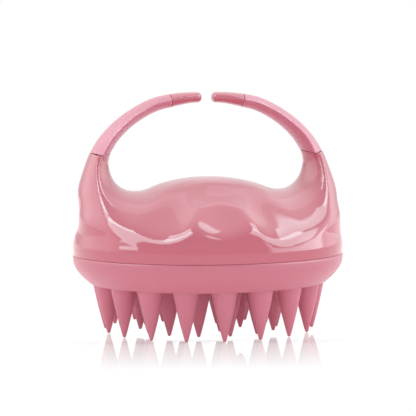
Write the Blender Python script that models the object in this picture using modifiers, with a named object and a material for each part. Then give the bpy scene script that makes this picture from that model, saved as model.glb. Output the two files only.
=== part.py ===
"""Scalp massager brush: palm cap with two arms that form a finger ring, over a silicone bristle moulding.

Metres, +Z up. Origin: middle of the plane the bristle tips stand on. The arms lie along X, the front is -Y.
Run with: blender --background --python part.py
"""

import math

import bmesh
import bpy
import numpy as np
from mathutils import Matrix, Vector

MM = 0.001
SEG = 48  # segments of every turned piece, so that neighbours' facets stay parallel

# ---- driving dimensions, in millimetres ------------------------------------------------
BODY_R = 44.4  # widest radius of the cap
PART_Z = 25.0  # height of the parting line between cap and base ring
PART_GAP = 0.3
DOME_TOP_Z = 49.8
CAP_INNER_R = 41.9
HORN_TOP_Z = 57.7

RING_BOTTOM_Z = 15.75
RING_INNER_R = 39.9
LIP_R = 38.55  # edge of the ledge the bristle moulding rests on
LEDGE_Z = 17.7
UPSTAND_R = 41.5
UPSTAND_Z = 29.0
GROOVE_R = 40.6
GROOVE_Z = (26.0, 27.4)
SEAL_R, SEAL_SECTION = 41.2, 0.4

PAD_R, PAD_RIM_R = 38.25, 39.6
PAD_Z = (16.2, 18.0, 20.0)  # underside, underside of the rim, top of the rim
PAD_FLOOR = 2.0
BRISTLE_ROOT_R, BRISTLE_TIP_R, BRISTLE_SEG = 4.05, 0.45, 8
BRISTLE_RINGS = ((18, 34.0, 0.0), (14, 22.5, 9.0), (5, 10.5, 12.0))

PLATE_R, PLATE_Z, PLATE_T = 39.4, 20.3, 1.5
SCREWS, SCREW_PCD_R, SCREW_PHASE = 6, 36.6, 30.0
SCREW_R, PILOT_R, LUG_R = 1.0, 1.3, 2.3
HEAD_R, HEAD_T = 1.9, 1.4

HOLLOWS = (-30.0, 0.0, 30.0)  # finger hollows, degrees from the front and from the back
HOLLOW_R = 17.0
SIDE_HOLLOWS = (100.0, -100.0)  # thumb and little finger, a little behind the horns

PIVOT = (37.2, 57.9)  # x and z of the line an arm flexes about
SOCKET = (33.9, 37.0, 4.6, 52.4)  # inner x, outer x, half width, floor z
CORE_T, CORE_W, CORE_TIP_W, CORE_FIT = 1.4, 8.0, 4.4, 0.3

# arm stations: x, z, thickness, half width, share of the thickness outside the ridge
ARM = (
    (35.03, 58.10, 6.80, 9.2, 0.40),
    (33.00, 61.50, 5.55, 8.9, 0.43),
    (30.40, 64.70, 5.15, 8.5, 0.45),
    (27.50, 67.45, 4.90, 8.0, 0.47),
    (24.20, 69.90, 4.70, 7.5, 0.48),
    (20.70, 72.00, 4.60, 7.0, 0.50),
    (17.10, 73.65, 4.50, 6.5, 0.50),
    (13.30, 74.80, 4.25, 5.9, 0.50),
    (11.90, 75.13, 4.05, 5.6, 0.50),
    (9.20, 75.65, 3.80, 5.3, 0.50),
    (7.20, 75.97, 3.50, 5.1, 0.50),
    (5.20, 76.15, 3.20, 4.8, 0.50),
    (3.40, 76.20, 3.05, 4.3, 0.50),
)
SEAM_AT = 8  # station of the seam between sleeve and tip
TIP_END_X = 1.82


# ---- scene and helpers -----------------------------------------------------------------
for old in list(bpy.data.objects):
    bpy.data.objects.remove(old, do_unlink=True)

PARTS = bpy.data.collections.new("scalp_massager_brush")
CUTTERS = bpy.data.collections.new("cutters")
bpy.context.scene.collection.children.link(PARTS)
bpy.context.scene.collection.children.link(CUTTERS)


def material(name, colour, roughness, metallic=0.0, coat=0.0):
    mat = bpy.data.materials.new(name)
    mat.use_nodes = True
    shader = mat.node_tree.nodes["Principled BSDF"]
    shader.inputs["Base Color"].default_value = (*colour, 1.0)
    shader.inputs["Roughness"].default_value = roughness
    shader.inputs["Metallic"].default_value = metallic
    shader.inputs["Coat Weight"].default_value = coat
    return mat


GLOSS = material("gloss_pink_abs", (0.68, 0.22, 0.28), 0.12, coat=0.4)
GLOSS_TIP = material("gloss_pink_tip", (0.66, 0.20, 0.27), 0.18)
SATIN = material("satin_pink_ring", (0.66, 0.24, 0.30), 0.45)
SOFT = material("soft_pink_sleeve", (0.74, 0.32, 0.40), 0.55)
SILICONE = material("pink_silicone", (0.58, 0.18, 0.25), 0.6)
PLATE = material("natural_plastic", (0.75, 0.73, 0.70), 0.5)
CORE = material("core_plastic", (0.70, 0.35, 0.40), 0.5)
STEEL = material("screw_steel", (0.62, 0.62, 0.64), 0.3, metallic=1.0)
SEAL = material("seal_rubber", (0.05, 0.05, 0.05), 0.7)


def finish(bm, name, mat=None, cutter=False, smooth=None):
    """Makes an object of a bmesh whose coordinates are in millimetres."""
    bmesh.ops.scale(bm, vec=(MM, MM, MM), verts=bm.verts)
    bmesh.ops.recalc_face_normals(bm, faces=bm.faces)
    mesh = bpy.data.meshes.new(name)
    bm.to_mesh(mesh)
    bm.free()
    ob = bpy.data.objects.new(name, mesh)
    (CUTTERS if cutter else PARTS).objects.link(ob)
    if mat:
        mesh.materials.append(mat)
    if smooth is not None:
        mesh.shade_smooth()
        mesh.set_sharp_from_angle(angle=math.radians(smooth))
    if cutter:
        ob.hide_render = True
        ob.display_type = "WIRE"
    return ob


def turned(name, profile, closed, mat=None, cutter=False, steps=SEG):
    """A profile of (radius, height), read down its outer side, turned about Z with a Screw modifier."""
    mesh = bpy.data.meshes.new(name)
    n = len(profile)
    edges = [(i, i + 1) for i in range(n - 1)] + ([(n - 1, 0)] if closed else [])
    mesh.from_pydata([(r * MM, 0, z * MM) for r, z in profile], edges, [])
    ob = bpy.data.objects.new(name, mesh)
    (CUTTERS if cutter else PARTS).objects.link(ob)
    if mat:
        mesh.materials.append(mat)
    screw = ob.modifiers.new("turn", "SCREW")
    screw.axis = "Z"
    screw.angle = 2 * math.pi
    screw.steps = steps
    screw.render_steps = steps
    screw.use_merge_vertices = True
    screw.merge_threshold = 0.00001
    screw.use_smooth_shade = True
    if cutter:
        ob.hide_render = True
        ob.display_type = "WIRE"
    return ob


def loft(sections):
    """A closed solid through rings of points that all have the same count."""
    bm = bmesh.new()
    rings = [[bm.verts.new(p) for p in ring] for ring in sections]
    n = len(rings[0])
    for a, b in zip(rings, rings[1:]):
        for i in range(n):
            j = (i + 1) % n
            bm.faces.new((a[i], a[j], b[j], b[i]))
    bm.faces.new(list(reversed(rings[0])))
    bm.faces.new(rings[-1])
    return bm


def boolean(ob, tool, operation="DIFFERENCE"):
    mod = ob.modifiers.new(operation.lower() + "_" + tool.name, "BOOLEAN")
    mod.operation = operation
    mod.object = tool
    mod.solver = "EXACT"
    return mod


def joined(name, bms, mat=None, cutter=False):
    """Several bmeshes in one object, as separate shells."""
    whole = bmesh.new()
    for bm in bms:
        mesh = bpy.data.meshes.new("piece")
        bm.to_mesh(mesh)
        whole.from_mesh(mesh)
        bm.free()
        bpy.data.meshes.remove(mesh)
    return finish(whole, name, mat, cutter)


def about_z(turn):
    return Matrix.Rotation(math.radians(turn), 3, "Z")


def smooth_through(points, per_span):
    """Catmull-Rom through the points, per_span steps a span."""
    p = np.array(points, float)
    p = np.vstack([2 * p[0] - p[1], p, 2 * p[-1] - p[-2]])
    out = []
    for i in range(1, len(p) - 2):
        for k in range(per_span):
            t = k / per_span
            a, b, c, d = p[i - 1], p[i], p[i + 1], p[i + 2]
            out.append(
                0.5
                * (
                    2 * b
                    + (c - a) * t
                    + (2 * a - 5 * b + 4 * c - d) * t * t
                    + (3 * b - a - 3 * c + d) * t**3
                )
            )
    out.append(p[-2])
    return np.array(out)


# ---- upper shell: outer wall -----------------------------------------------------------
# Each level: z, reach of the wall at the horn, radius of curvature there, radius at front and back.
WALL = (
    (PART_Z + PART_GAP / 2, 44.2, 44.2, 44.2),
    (27.0, BODY_R, BODY_R, BODY_R),
    (30.2, 44.05, 44.05, 44.05),
    (33.5, 43.7, 43.2, 43.3),
    (37.0, 43.5, 39.5, 42.2),
    (40.0, 43.3, 34.0, 40.5),
    (43.0, 43.1, 29.5, 38.0),
    (46.0, 42.8, 25.0, 35.0),
    (49.0, 41.9, 21.5, 32.0),
    (52.0, 40.8, 19.5, 30.0),
    (55.0, 39.7, 17.5, 28.0),
    (HORN_TOP_Z, 38.6, 16.0, 26.0),
)


def wall_radius(angle, reach, rho, round_r):
    """Distance of the wall from Z at an angle from X: the horn's own arc, or the round body."""
    c = reach - rho
    a = abs(math.cos(angle))
    s2 = math.sin(angle) ** 2
    inside = rho * rho - c * c * s2
    horn = c * a + math.sqrt(inside) if inside > 0 else 0.0
    return max(horn, round_r)


def wall_solid():
    rings = []
    for z, reach, rho, round_r in WALL:
        ring = []
        for i in range(SEG):
            angle = 2 * math.pi * i / SEG
            r = wall_radius(angle, reach, rho, round_r)
            ring.append((r * math.cos(angle), r * math.sin(angle), z))
        rings.append(ring)
    return loft(rings)


# Palm side: the line over the top from horn to horn, with the radius the surface has across it.
SADDLE = (
    (0.0, DOME_TOP_Z, 70.0),
    (6.0, 49.5, 70.0),
    (11.4, 48.65, 68.0),
    (16.9, 47.3, 62.0),
    (20.5, 46.3, 57.0),
    (23.5, 45.9, 54.0),
    (26.3, 46.2, 46.0),
    (29.0, 47.4, 31.0),
    (31.2, 50.0, 19.0),
    (32.3, 52.8, 14.5),
    (32.3, 55.6, 12.0),
    (31.65, 57.9, 10.6),
    (31.2, 59.4, 10.0),
)


def palm_solid():
    half = smooth_through(SADDLE, 1)
    full = np.vstack([half[::-1] * (-1, 1, 1), half[1:]])
    step = np.gradient(full[:, :2], axis=0)
    step /= np.linalg.norm(step, axis=1)[:, None]
    out = np.stack([-step[:, 1], step[:, 0]], axis=1)
    sections = []
    for y in (-46, -40, -34, -28, -22, -17, -12, -8, -4, 0, 4, 8, 12, 17, 22, 28, 34, 40, 46):
        drop = np.minimum(y * y / (2 * full[:, 2]) * (1 + (y / (2.2 * full[:, 2])) ** 2), 27.0)
        at = full[:, :2] - out * drop[:, None]
        ring = [(x, y, z) for x, z in at]
        ring += [(90, y, 92), (90, y, 5), (-90, y, 5), (-90, y, 92)]
        sections.append(ring)
    return loft(sections)


upper_shell = finish(wall_solid(), "upper_shell", GLOSS)
boolean(upper_shell, finish(palm_solid(), "palm_side", cutter=True), "INTERSECT")

# Finger hollows: slanting round scoops across the shoulder.
LIP = Vector((0, -43.5, 33.0))
CREST = Vector((0, -19.0, 47.0))
SLOPE = (CREST - LIP).normalized()
LIFT = Vector((1, 0, 0)).cross(SLOPE).normalized()
if LIFT.z < 0:
    LIFT = -LIFT


def scoop(turn):
    """A cylinder that lies along the slope from lip to crest, turned about Z."""
    bm = bmesh.new()
    bmesh.ops.create_cone(
        bm, cap_ends=True, segments=28, radius1=HOLLOW_R, radius2=HOLLOW_R, depth=60
    )
    quat = SLOPE.to_track_quat("Z", "Y")
    centre = LIP + SLOPE * 16 + LIFT * HOLLOW_R
    for v in bm.verts:
        v.co = quat @ v.co + centre
    bmesh.ops.rotate(
        bm,
        cent=(0, 0, 0),
        matrix=about_z(turn),
        verts=bm.verts,
    )
    return bm


def side_scoop(turn):
    bm = bmesh.new()
    bmesh.ops.create_icosphere(bm, subdivisions=3, radius=1.0)
    for v in bm.verts:
        v.co = Vector((v.co.x * 13.0, v.co.y * 11.0 - 52.3, v.co.z * 10.5 + 37.6))
    bmesh.ops.rotate(bm, cent=(0, 0, 0), matrix=about_z(turn), verts=bm.verts)
    return bm


for i, turn in enumerate(HOLLOWS):
    boolean(upper_shell, finish(scoop(turn), f"front_scoop_{i}", cutter=True))
    boolean(upper_shell, finish(scoop(turn + 180), f"back_scoop_{i}", cutter=True))
for i, turn in enumerate(SIDE_HOLLOWS):
    boolean(upper_shell, finish(side_scoop(turn), f"side_scoop_{i}", cutter=True))

cavity = turned(
    "cap_hollow",
    (
        (0, 47.2),
        (10, 46.2),
        (20, 43.3),
        (28, 39.2),
        (34, 35.7),
        (39, 32.4),
        (CAP_INNER_R, 29.8),
        (CAP_INNER_R, 20.0),
        (0, 20.0),
    ),
    False,
    cutter=True,
)
boolean(upper_shell, cavity)


def box(x0, x1, y0, y1, z0, z1):
    bm = bmesh.new()
    bmesh.ops.create_cube(bm, size=1.0)
    for v in bm.verts:
        v.co = Vector(
            (
                x0 + (v.co.x + 0.5) * (x1 - x0),
                y0 + (v.co.y + 0.5) * (y1 - y0),
                z0 + (v.co.z + 0.5) * (z1 - z0),
            )
        )
    return bm


inner, outer, half_w, floor = SOCKET
for side, word in ((-1, "left"), (1, "right")):
    x0, x1 = sorted((side * inner, side * outer))
    boolean(
        upper_shell,
        finish(box(x0, x1, -half_w, half_w, floor, 62), f"{word}_socket", cutter=True),
    )

# ---- base ring -------------------------------------------------------------------------
base_ring = turned(
    "base_ring",
    (
        (RING_INNER_R, UPSTAND_Z),
        (UPSTAND_R, UPSTAND_Z),
        (UPSTAND_R, GROOVE_Z[1]),
        (GROOVE_R, GROOVE_Z[1]),
        (GROOVE_R, GROOVE_Z[0]),
        (UPSTAND_R, GROOVE_Z[0]),
        (UPSTAND_R, PART_Z - PART_GAP / 2),
        (44.15, PART_Z - PART_GAP / 2),
        (44.25, 24.2),
        (44.0, 22.3),
        (43.65, 21.0),
        (42.9, 19.7),
        (41.9, 18.4),
        (40.7, 17.1),
        (38.95, RING_BOTTOM_Z),
        (LIP_R, RING_BOTTOM_Z),
        (LIP_R, LEDGE_Z),
        (RING_INNER_R, LEDGE_Z),
    ),
    True,
    SATIN,
)


def around(bm, turn):
    bmesh.ops.rotate(bm, cent=(0, 0, 0), matrix=about_z(turn), verts=bm.verts)
    return bm


def post(radius, z0, z1, x, segments=16):
    bm = bmesh.new()
    bmesh.ops.create_cone(
        bm,
        cap_ends=True,
        segments=segments,
        radius1=radius,
        radius2=radius,
        depth=z1 - z0,
    )
    for v in bm.verts:
        v.co = v.co + Vector((x, 0, (z0 + z1) / 2))
    return bm


def lug_shape(grow, z0, z1, reach):
    """A rounded lug that stands inward from the wall: a half-round nose and straight sides, as an outline extruded upward."""
    r = LUG_R + grow
    outline = [(reach, r)]
    for k in range(9):
        a = math.pi / 2 + math.pi * k / 8
        outline.append((SCREW_PCD_R + r * math.cos(a), r * math.sin(a)))
    outline.append((reach, -r))
    return loft([[(x, y, z) for x, y in outline] for z in (z0, z1)])


SCREW_TURNS = [SCREW_PHASE + 360.0 / SCREWS * k for k in range(SCREWS)]
lugs = joined(
    "lugs", [around(lug_shape(0, 17.5, 20.0, 40.6), t) for t in SCREW_TURNS], cutter=True
)
boolean(base_ring, lugs, "UNION")
pilots = joined(
    "pilot_holes",
    [around(post(PILOT_R, 16.9, 22.5, SCREW_PCD_R, 12), t) for t in SCREW_TURNS],
    cutter=True,
)
boolean(base_ring, pilots)

# ---- seal ring -------------------------------------------------------------------------
mid = sum(GROOVE_Z) / 2
seal_ring = turned(
    "seal_ring",
    [
        (
            SEAL_R + SEAL_SECTION * math.cos(-2 * math.pi * k / 8 + math.pi / 8),
            mid + SEAL_SECTION * math.sin(-2 * math.pi * k / 8 + math.pi / 8),
        )
        for k in range(8)
    ],
    True,
    SEAL,
)

# ---- bristle moulding ------------------------------------------------------------------
under, rim_under, rim_top = PAD_Z
bristle_pad = turned(
    "bristle_pad",
    (
        (0, under + PAD_FLOOR),
        (33.2, under + PAD_FLOOR),
        (33.8, rim_top),
        (PAD_RIM_R, rim_top),
        (PAD_RIM_R, rim_under),
        (PAD_R, rim_under),
        (PAD_R, under),
        (0, under),
    ),
    False,
    SILICONE,
)


def bristle(x, y):
    """A slightly convex cone standing on its blunt tip."""
    length = under + 0.8
    rings = []
    for z in (0.0, 0.7, 7.3, length):
        if z == 0.0:
            r = BRISTLE_TIP_R
        elif z == 0.7:
            r = 0.92
        else:
            t = (z - 0.7) / (15.75 - 0.7)
            r = 0.92 + (BRISTLE_ROOT_R - 0.92) * min(t, 1.0) + 0.22 * math.sin(math.pi * min(t, 1))
        rings.append(
            [
                (
                    r * math.cos(2 * math.pi * k / BRISTLE_SEG),
                    r * math.sin(2 * math.pi * k / BRISTLE_SEG),
                    z,
                )
                for k in range(BRISTLE_SEG)
            ]
        )
    bm = loft(rings)
    for v in bm.verts:
        v.co = v.co + Vector((x, y, 0))
    return bm


def bristle_spots():
    for count, radius, phase in BRISTLE_RINGS:
        for k in range(count):
            a = math.radians(phase + 360.0 / count * k)
            yield radius * math.sin(a), -radius * math.cos(a)


bristles = joined("bristles", [bristle(x, y) for x, y in bristle_spots()], cutter=True)
boolean(bristle_pad, bristles, "UNION")
notches = joined(
    "rim_notches",
    [around(lug_shape(0.35, 17.15, 21.0, 42.0), t) for t in SCREW_TURNS],
    cutter=True,
)
boolean(bristle_pad, notches)

# ---- backing plate ---------------------------------------------------------------------
backing_plate = turned(
    "backing_plate",
    (
        (0, under + PAD_FLOOR + 0.3 + PLATE_T),
        (31.6, under + PAD_FLOOR + 0.3 + PLATE_T),
        (32.6, PLATE_Z + PLATE_T),
        (PLATE_R, PLATE_Z + PLATE_T),
        (PLATE_R, PLATE_Z),
        (33.5, PLATE_Z),
        (32.8, under + PAD_FLOOR + 0.3),
        (0, under + PAD_FLOOR + 0.3),
    ),
    False,
    PLATE,
)
ribs = joined(
    "plate_ribs",
    [around(box(-31.0, 31.0, -0.8, 0.8, 19.2, 22.6), t) for t in (0, 60, 120)],
    cutter=True,
)
ribs_mod = boolean(backing_plate, ribs, "UNION")
ribs_mod.use_self = True
plate_holes = joined(
    "plate_holes",
    [around(post(PILOT_R, 18.0, 24.0, SCREW_PCD_R, 12), t) for t in SCREW_TURNS]
    + [around(post(2.0, 15.0, 24.0, 18.0, 12), t + 0) for t in SCREW_TURNS],
    cutter=True,
)
boolean(backing_plate, plate_holes)

# ---- screws ----------------------------------------------------------------------------
HEAD_Z = PLATE_Z + PLATE_T + 0.2
for n, turn in enumerate(SCREW_TURNS, 1):
    screw = turned(
        f"plate_screw_{n}",
        (
            (0, HEAD_Z + HEAD_T),
            (1.3, HEAD_Z + HEAD_T - 0.05),
            (HEAD_R, HEAD_Z + 0.7),
            (HEAD_R, HEAD_Z),
            (SCREW_R, HEAD_Z),
            (SCREW_R, 18.4),
            (0.4, 17.8),
            (0, 17.8),
        ),
        False,
        STEEL,
        steps=12,
    )
    a = math.radians(turn)
    screw.location = (SCREW_PCD_R * MM * math.cos(a), SCREW_PCD_R * MM * math.sin(a), 0)
    recess = joined(
        f"recess_{n}",
        [
            box(-1.1, 1.1, -0.22, 0.22, HEAD_Z + 0.75, HEAD_Z + 2.5),
            box(-0.22, 0.22, -1.1, 1.1, HEAD_Z + 0.75, HEAD_Z + 2.5),
        ],
        cutter=True,
    )
    recess.location = screw.location
    cut = boolean(screw, recess)
    cut.use_self = True


# ---- arms ------------------------------------------------------------------------------
def arm_frames():
    """Centre points, outward directions, thickness, half width and ridge share along an arm at +X."""
    data = np.array(ARM, float)
    step = np.gradient(data[:, :2], axis=0)
    step /= np.linalg.norm(step, axis=1)[:, None]
    out = np.stack([step[:, 1], -step[:, 0]], axis=1)
    out[0] = (1.0, 0.0)
    return data, out


def almond(centre, out, thick, half, share, side, points=5):
    """An almond section: two shallow arcs that meet in a ridge at front and back."""
    ring = []
    high, low = thick * share, thick * (1 - share)
    ridge = np.array(centre) + np.array(out) * (thick / 2 - high)
    us = [math.cos(math.pi * k / (points + 1)) for k in range(points + 2)]
    for u in us:
        ring.append((u * half, high * (1 - u * u)))
    for u in us[-2:0:-1]:
        ring.append((u * half, -low * (1 - u * u)))
    placed = []
    for y, h in ring:
        p = ridge + np.array(out) * h
        placed.append((side * p[0], y, p[1]))
    return placed


def strip(side, grow, room, keys, ends):
    """A strip of constant thickness through centre points, narrowing towards the tip, as a closed solid."""
    pts = np.array([ends[0]] + [tuple(k) for k in keys] + [ends[1]], float)
    step = np.gradient(pts, axis=0)
    step /= np.linalg.norm(step, axis=1)[:, None]
    out = np.stack([step[:, 1], -step[:, 0]], axis=1)
    rings = []
    last = len(pts) - 1
    for n, (p, o) in enumerate(zip(pts, out)):
        a, b = p + o * grow, p - o * grow
        width = (CORE_W + (CORE_TIP_W - CORE_W) * max(0, n - 3) / (last - 3)) / 2 + room
        rings.append(
            [
                (side * a[0], -width, a[1]),
                (side * a[0], width, a[1]),
                (side * b[0], width, b[1]),
                (side * b[0], -width, b[1]),
            ]
        )
    return loft(rings)


def ride_on(ob, pivot):
    """Moves the mesh so that the object's origin is the pivot, and parents it there."""
    ob.data.transform(Matrix.Translation(-pivot.location))
    ob.parent = pivot


data, out = arm_frames()
centres = data[:, :2].copy()
# The strip enters the sleeve nearer its outer side, above the socket, and meets the centre line by the third station.
centres[0] = (35.9, 58.10)
centres[1] = (33.55, 61.5)
centres[2] = (30.6, 64.8)

for side, word in ((-1, "left"), (1, "right")):
    pivot = bpy.data.objects.new(f"{word}_arm_pivot", None)
    pivot.location = (side * PIVOT[0] * MM, 0, PIVOT[1] * MM)
    PARTS.objects.link(pivot)

    tenon_low = (35.9, 53.0)
    tip_high = (5.9, 76.13)
    core = finish(
        strip(
            side,
            CORE_T / 2,
            0.0,
            [(35.9, 55.6)] + [tuple(c) for c in centres[:10]],
            (tenon_low, tip_high),
        ),
        f"{word}_arm_core",
        CORE,
    )
    ride_on(core, pivot)

    core_room = finish(
        strip(
            side,
            CORE_T / 2 + CORE_FIT,
            CORE_FIT,
            [(35.9, 55.6)] + [tuple(c) for c in centres[:10]],
            (tenon_low, (5.55, 76.14)),
        ),
        f"{word}_core_room",
        cutter=True,
    )

    sections = []
    for k in range(SEAM_AT + 1):
        x, z, thick, half, share = data[k]
        sections.append(almond((x, z), out[k], thick, half, share, side))
    sleeve = finish(loft(sections), f"{word}_grip_sleeve", SOFT)
    ride_on(sleeve, pivot)
    boolean(sleeve, core_room)

    along = np.array([out[SEAM_AT][1], -out[SEAM_AT][0]])
    if along[0] > 0:
        along = -along
    sections = []
    x, z, thick, half, share = data[SEAM_AT]
    start = np.array((x, z)) + along * 0.3
    sections.append(almond(start, out[SEAM_AT], thick - 0.05, half, share, side))
    for k in range(SEAM_AT + 1, len(ARM)):
        x, z, thick, half, share = data[k]
        sections.append(almond((x, z), out[k], thick, half, share, side))
    x, z, thick, half, share = data[-1]
    for reach, scale in ((0.45, 0.9), (0.8, 0.66), (1.0, 0.3)):
        sections.append(
            almond(
                (x - (x - TIP_END_X) * reach, z),
                out[-1],
                thick * scale,
                half - 1.6 * reach * reach,
                share,
                side,
            )
        )
    tip = finish(loft(sections), f"{word}_arm_tip", GLOSS_TIP)
    ride_on(tip, pivot)
    boolean(tip, core_room)
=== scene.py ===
import math

import bmesh
import bpy
import numpy as np
from mathutils import Matrix, Vector

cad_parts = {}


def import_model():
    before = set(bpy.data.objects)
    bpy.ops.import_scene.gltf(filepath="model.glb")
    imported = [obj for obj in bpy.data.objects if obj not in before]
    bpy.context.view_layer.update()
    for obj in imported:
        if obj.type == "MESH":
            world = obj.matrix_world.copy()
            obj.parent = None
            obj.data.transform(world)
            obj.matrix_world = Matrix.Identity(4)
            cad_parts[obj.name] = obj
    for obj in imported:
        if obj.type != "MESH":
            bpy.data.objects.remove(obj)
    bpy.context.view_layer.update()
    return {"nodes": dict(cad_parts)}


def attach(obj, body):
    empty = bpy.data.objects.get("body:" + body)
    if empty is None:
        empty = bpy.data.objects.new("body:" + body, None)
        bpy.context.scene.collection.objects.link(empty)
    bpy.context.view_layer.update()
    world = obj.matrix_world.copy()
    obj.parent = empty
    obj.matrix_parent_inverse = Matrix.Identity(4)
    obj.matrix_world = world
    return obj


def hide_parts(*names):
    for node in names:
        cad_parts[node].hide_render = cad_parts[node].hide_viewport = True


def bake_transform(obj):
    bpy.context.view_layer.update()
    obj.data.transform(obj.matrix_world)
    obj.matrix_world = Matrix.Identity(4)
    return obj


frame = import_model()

MM = 0.001
scene = bpy.context.scene


# =====================================================================================
# Small maths
# =====================================================================================
class Spline:
    """Natural cubic spline through (t, values...)."""

    def __init__(self, t, y):
        t = np.asarray(t, float)
        y = np.asarray(y, float)
        if y.ndim == 1:
            y = y[:, None]
        n = len(t)
        h = np.diff(t)
        a = np.zeros((n, n))
        b = np.zeros((n, y.shape[1]))
        a[0, 0] = a[-1, -1] = 1
        for i in range(1, n - 1):
            a[i, i - 1], a[i, i], a[i, i + 1] = h[i - 1], 2 * (h[i - 1] + h[i]), h[i]
            b[i] = 6 * ((y[i + 1] - y[i]) / h[i] - (y[i] - y[i - 1]) / h[i - 1])
        self.t, self.y, self.h, self.m = t, y, h, np.linalg.solve(a, b)

    def __call__(self, x, d=0):
        x = np.clip(np.asarray(x, float), self.t[0], self.t[-1])
        i = np.clip(np.searchsorted(self.t, x, side="right") - 1, 0, len(self.h) - 1)
        h = self.h[i][..., None]
        a = (self.t[i + 1] - x)[..., None] / h
        b = (x - self.t[i])[..., None] / h
        y0, y1, m0, m1 = self.y[i], self.y[i + 1], self.m[i], self.m[i + 1]
        if d == 0:
            v = a * y0 + b * y1 + ((a**3 - a) * m0 + (b**3 - b) * m1) * h * h / 6
        elif d == 1:
            v = (y1 - y0) / h - (3 * a * a - 1) * h * m0 / 6 + (3 * b * b - 1) * h * m1 / 6
        else:
            v = a * m0 + b * m1
        return v[..., 0] if self.y.shape[1] == 1 else v


def chord_spline(points):
    p = np.asarray(points, float)
    t = np.r_[0, np.cumsum(np.linalg.norm(np.diff(p[:, :2], axis=0), axis=1))]
    return Spline(t, p), t[-1]


def smax(a, b, k):
    h = np.maximum(k - np.abs(a - b), 0) / np.maximum(k, 1e-6)
    return np.maximum(a, b) + h * h * k * 0.25


def smin(a, b, k):
    return -smax(-a, -b, k)


def smooth(x):
    x = np.clip(x, 0, 1)
    return x * x * (3 - 2 * x)


# =====================================================================================
# Upper shell as a smooth solid function, millimetres, negative inside
# =====================================================================================
# x, z of the line over the top from the middle to the inside of the horn, and the radius across it
SADDLE = (
    (-6.0, 49.80, 66.0),
    (0.0, 50.05, 66.0),
    (6.0, 49.80, 66.0),
    (11.4, 49.00, 65.0),
    (16.9, 47.55, 62.0),
    (20.5, 46.35, 57.0),
    (23.5, 45.95, 52.0),
    (26.4, 46.25, 43.0),
    (28.9, 47.35, 32.0),
    (30.9, 49.4, 22.5),
    (32.1, 52.2, 16.0),
    (32.4, 54.2, 13.2),
    (32.15, 56.4, 11.4),
    (31.6, 58.2, 10.4),
    (30.9, 59.7, 10.0),
    (29.6, 61.6, 9.6),
    (27.9, 63.6, 9.4),
)
SAD, SAD_LEN = chord_spline(SADDLE)
SAD_T = np.linspace(0, SAD_LEN, 500)
SAD_P = SAD(SAD_T)[:, :2]


def nearest_table():
    """Where along the saddle line the nearest point lies, for a coarse net of (|x|, z)."""
    gx, gz = np.meshgrid(np.arange(-2, 50, 0.5), np.arange(18, 68, 0.5), indexing="ij")
    d2 = (gx[..., None] - SAD_P[:, 0]) ** 2 + (gz[..., None] - SAD_P[:, 1]) ** 2
    return SAD_T[d2.argmin(-1)]


NEAR_T = nearest_table()

# z, reach of the wall at the horns, radius of curvature there, radius of the round body, blend
WALL = np.array(
    (
        (20.0, 44.0, 44.0, 44.0),
        (23.0, 44.15, 44.15, 44.15),
        (25.15, 44.25, 44.25, 44.25),
        (27.2, 44.4, 44.4, 44.4),
        (30.2, 44.15, 44.15, 44.15),
        (33.5, 43.8, 43.4, 43.3),
        (37.0, 43.6, 39.5, 42.0),
        (40.0, 43.5, 34.0, 40.3),
        (43.0, 43.3, 29.5, 38.0),
        (46.0, 42.75, 25.5, 35.0),
        (49.0, 41.85, 22.0, 32.0),
        (52.0, 40.8, 19.6, 30.0),
        (55.0, 39.7, 17.6, 28.0),
        (58.2, 38.4, 16.0, 26.0),
        (61.0, 36.9, 15.5, 24.0),
        (64.0, 34.6, 15.0, 22.0),
    )
)
WALL_S = Spline(WALL[:, 0], WALL[:, 1:])

LIP = np.array((0.0, -43.5, 33.0))
CREST = np.array((0.0, -19.0, 47.0))
SLOPE = (CREST - LIP) / np.linalg.norm(CREST - LIP)
LIFT = np.cross((1.0, 0, 0), SLOPE)
LIFT = LIFT * np.sign(LIFT[2])
SCOOP_R = 17.0
SCOOP_TURNS = (-27.5, -1.7, 23.5, 152.5, 178.3, 203.5)
# the dent in each flank: how deep at each height, the bearing of its middle from the front, and how far it reaches
SIDE_DENT = Spline(
    (20.0, 28.0, 29.5, 31.0, 33.1, 34.8, 36.6, 38.6, 41.0, 43.2, 45.2, 47.5, 50.0, 66.0),
    (0.0, 0.0, 0.03, 0.3, 1.25, 2.45, 3.0, 2.9, 2.2, 1.35, 0.65, 0.18, 0.0, 0.0),
)
# how far the narrow front and back faces of the horns stand out, by height
FACET = Spline(
    (20.0, 40.0, 43.0, 46.0, 49.0, 52.0, 55.0, 58.2, 61.0, 66.0),
    (90.0, 40.0, 27.0, 19.3, 14.7, 11.65, 9.75, 8.55, 7.8, 7.0),
)
SIDE_TURN, SIDE_SPAN = 111.0, 44.0


def saddle_distance(ax, z):
    """Signed distance across the saddle line (positive above it) and the radius across it, for arrays of |x| and z."""
    shape = ax.shape
    p = np.stack([ax.ravel(), z.ravel()], axis=1)
    t = np.empty(len(p))
    gi = np.clip(np.rint((p[:, 0] + 2) / 0.5), 0, NEAR_T.shape[0] - 1).astype(int)
    gj = np.clip(np.rint((p[:, 1] - 18) / 0.5), 0, NEAR_T.shape[1] - 1).astype(int)
    t[:] = NEAR_T[gi, gj]
    for _ in range(4):
        c, c1, c2 = SAD(t)[:, :2], SAD(t, 1)[:, :2], SAD(t, 2)[:, :2]
        e = c - p
        num = (e * c1).sum(1)
        den = (c1 * c1).sum(1) + (e * c2).sum(1)
        step = num / np.where(np.abs(den) < 0.2, 0.2 * np.sign(den + 1e-9), den)
        t = np.clip(t - np.clip(step, -1.0, 1.0), 0, SAD_LEN)
    full = SAD(t)
    c, rho = full[:, :2], full[:, 2]
    c1 = SAD(t, 1)[:, :2]
    n = np.stack([-c1[:, 1], c1[:, 0]], axis=1)
    n /= np.linalg.norm(n, axis=1)[:, None]
    d = ((p - c) * n).sum(1)
    return d.reshape(shape), rho.reshape(shape)


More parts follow.
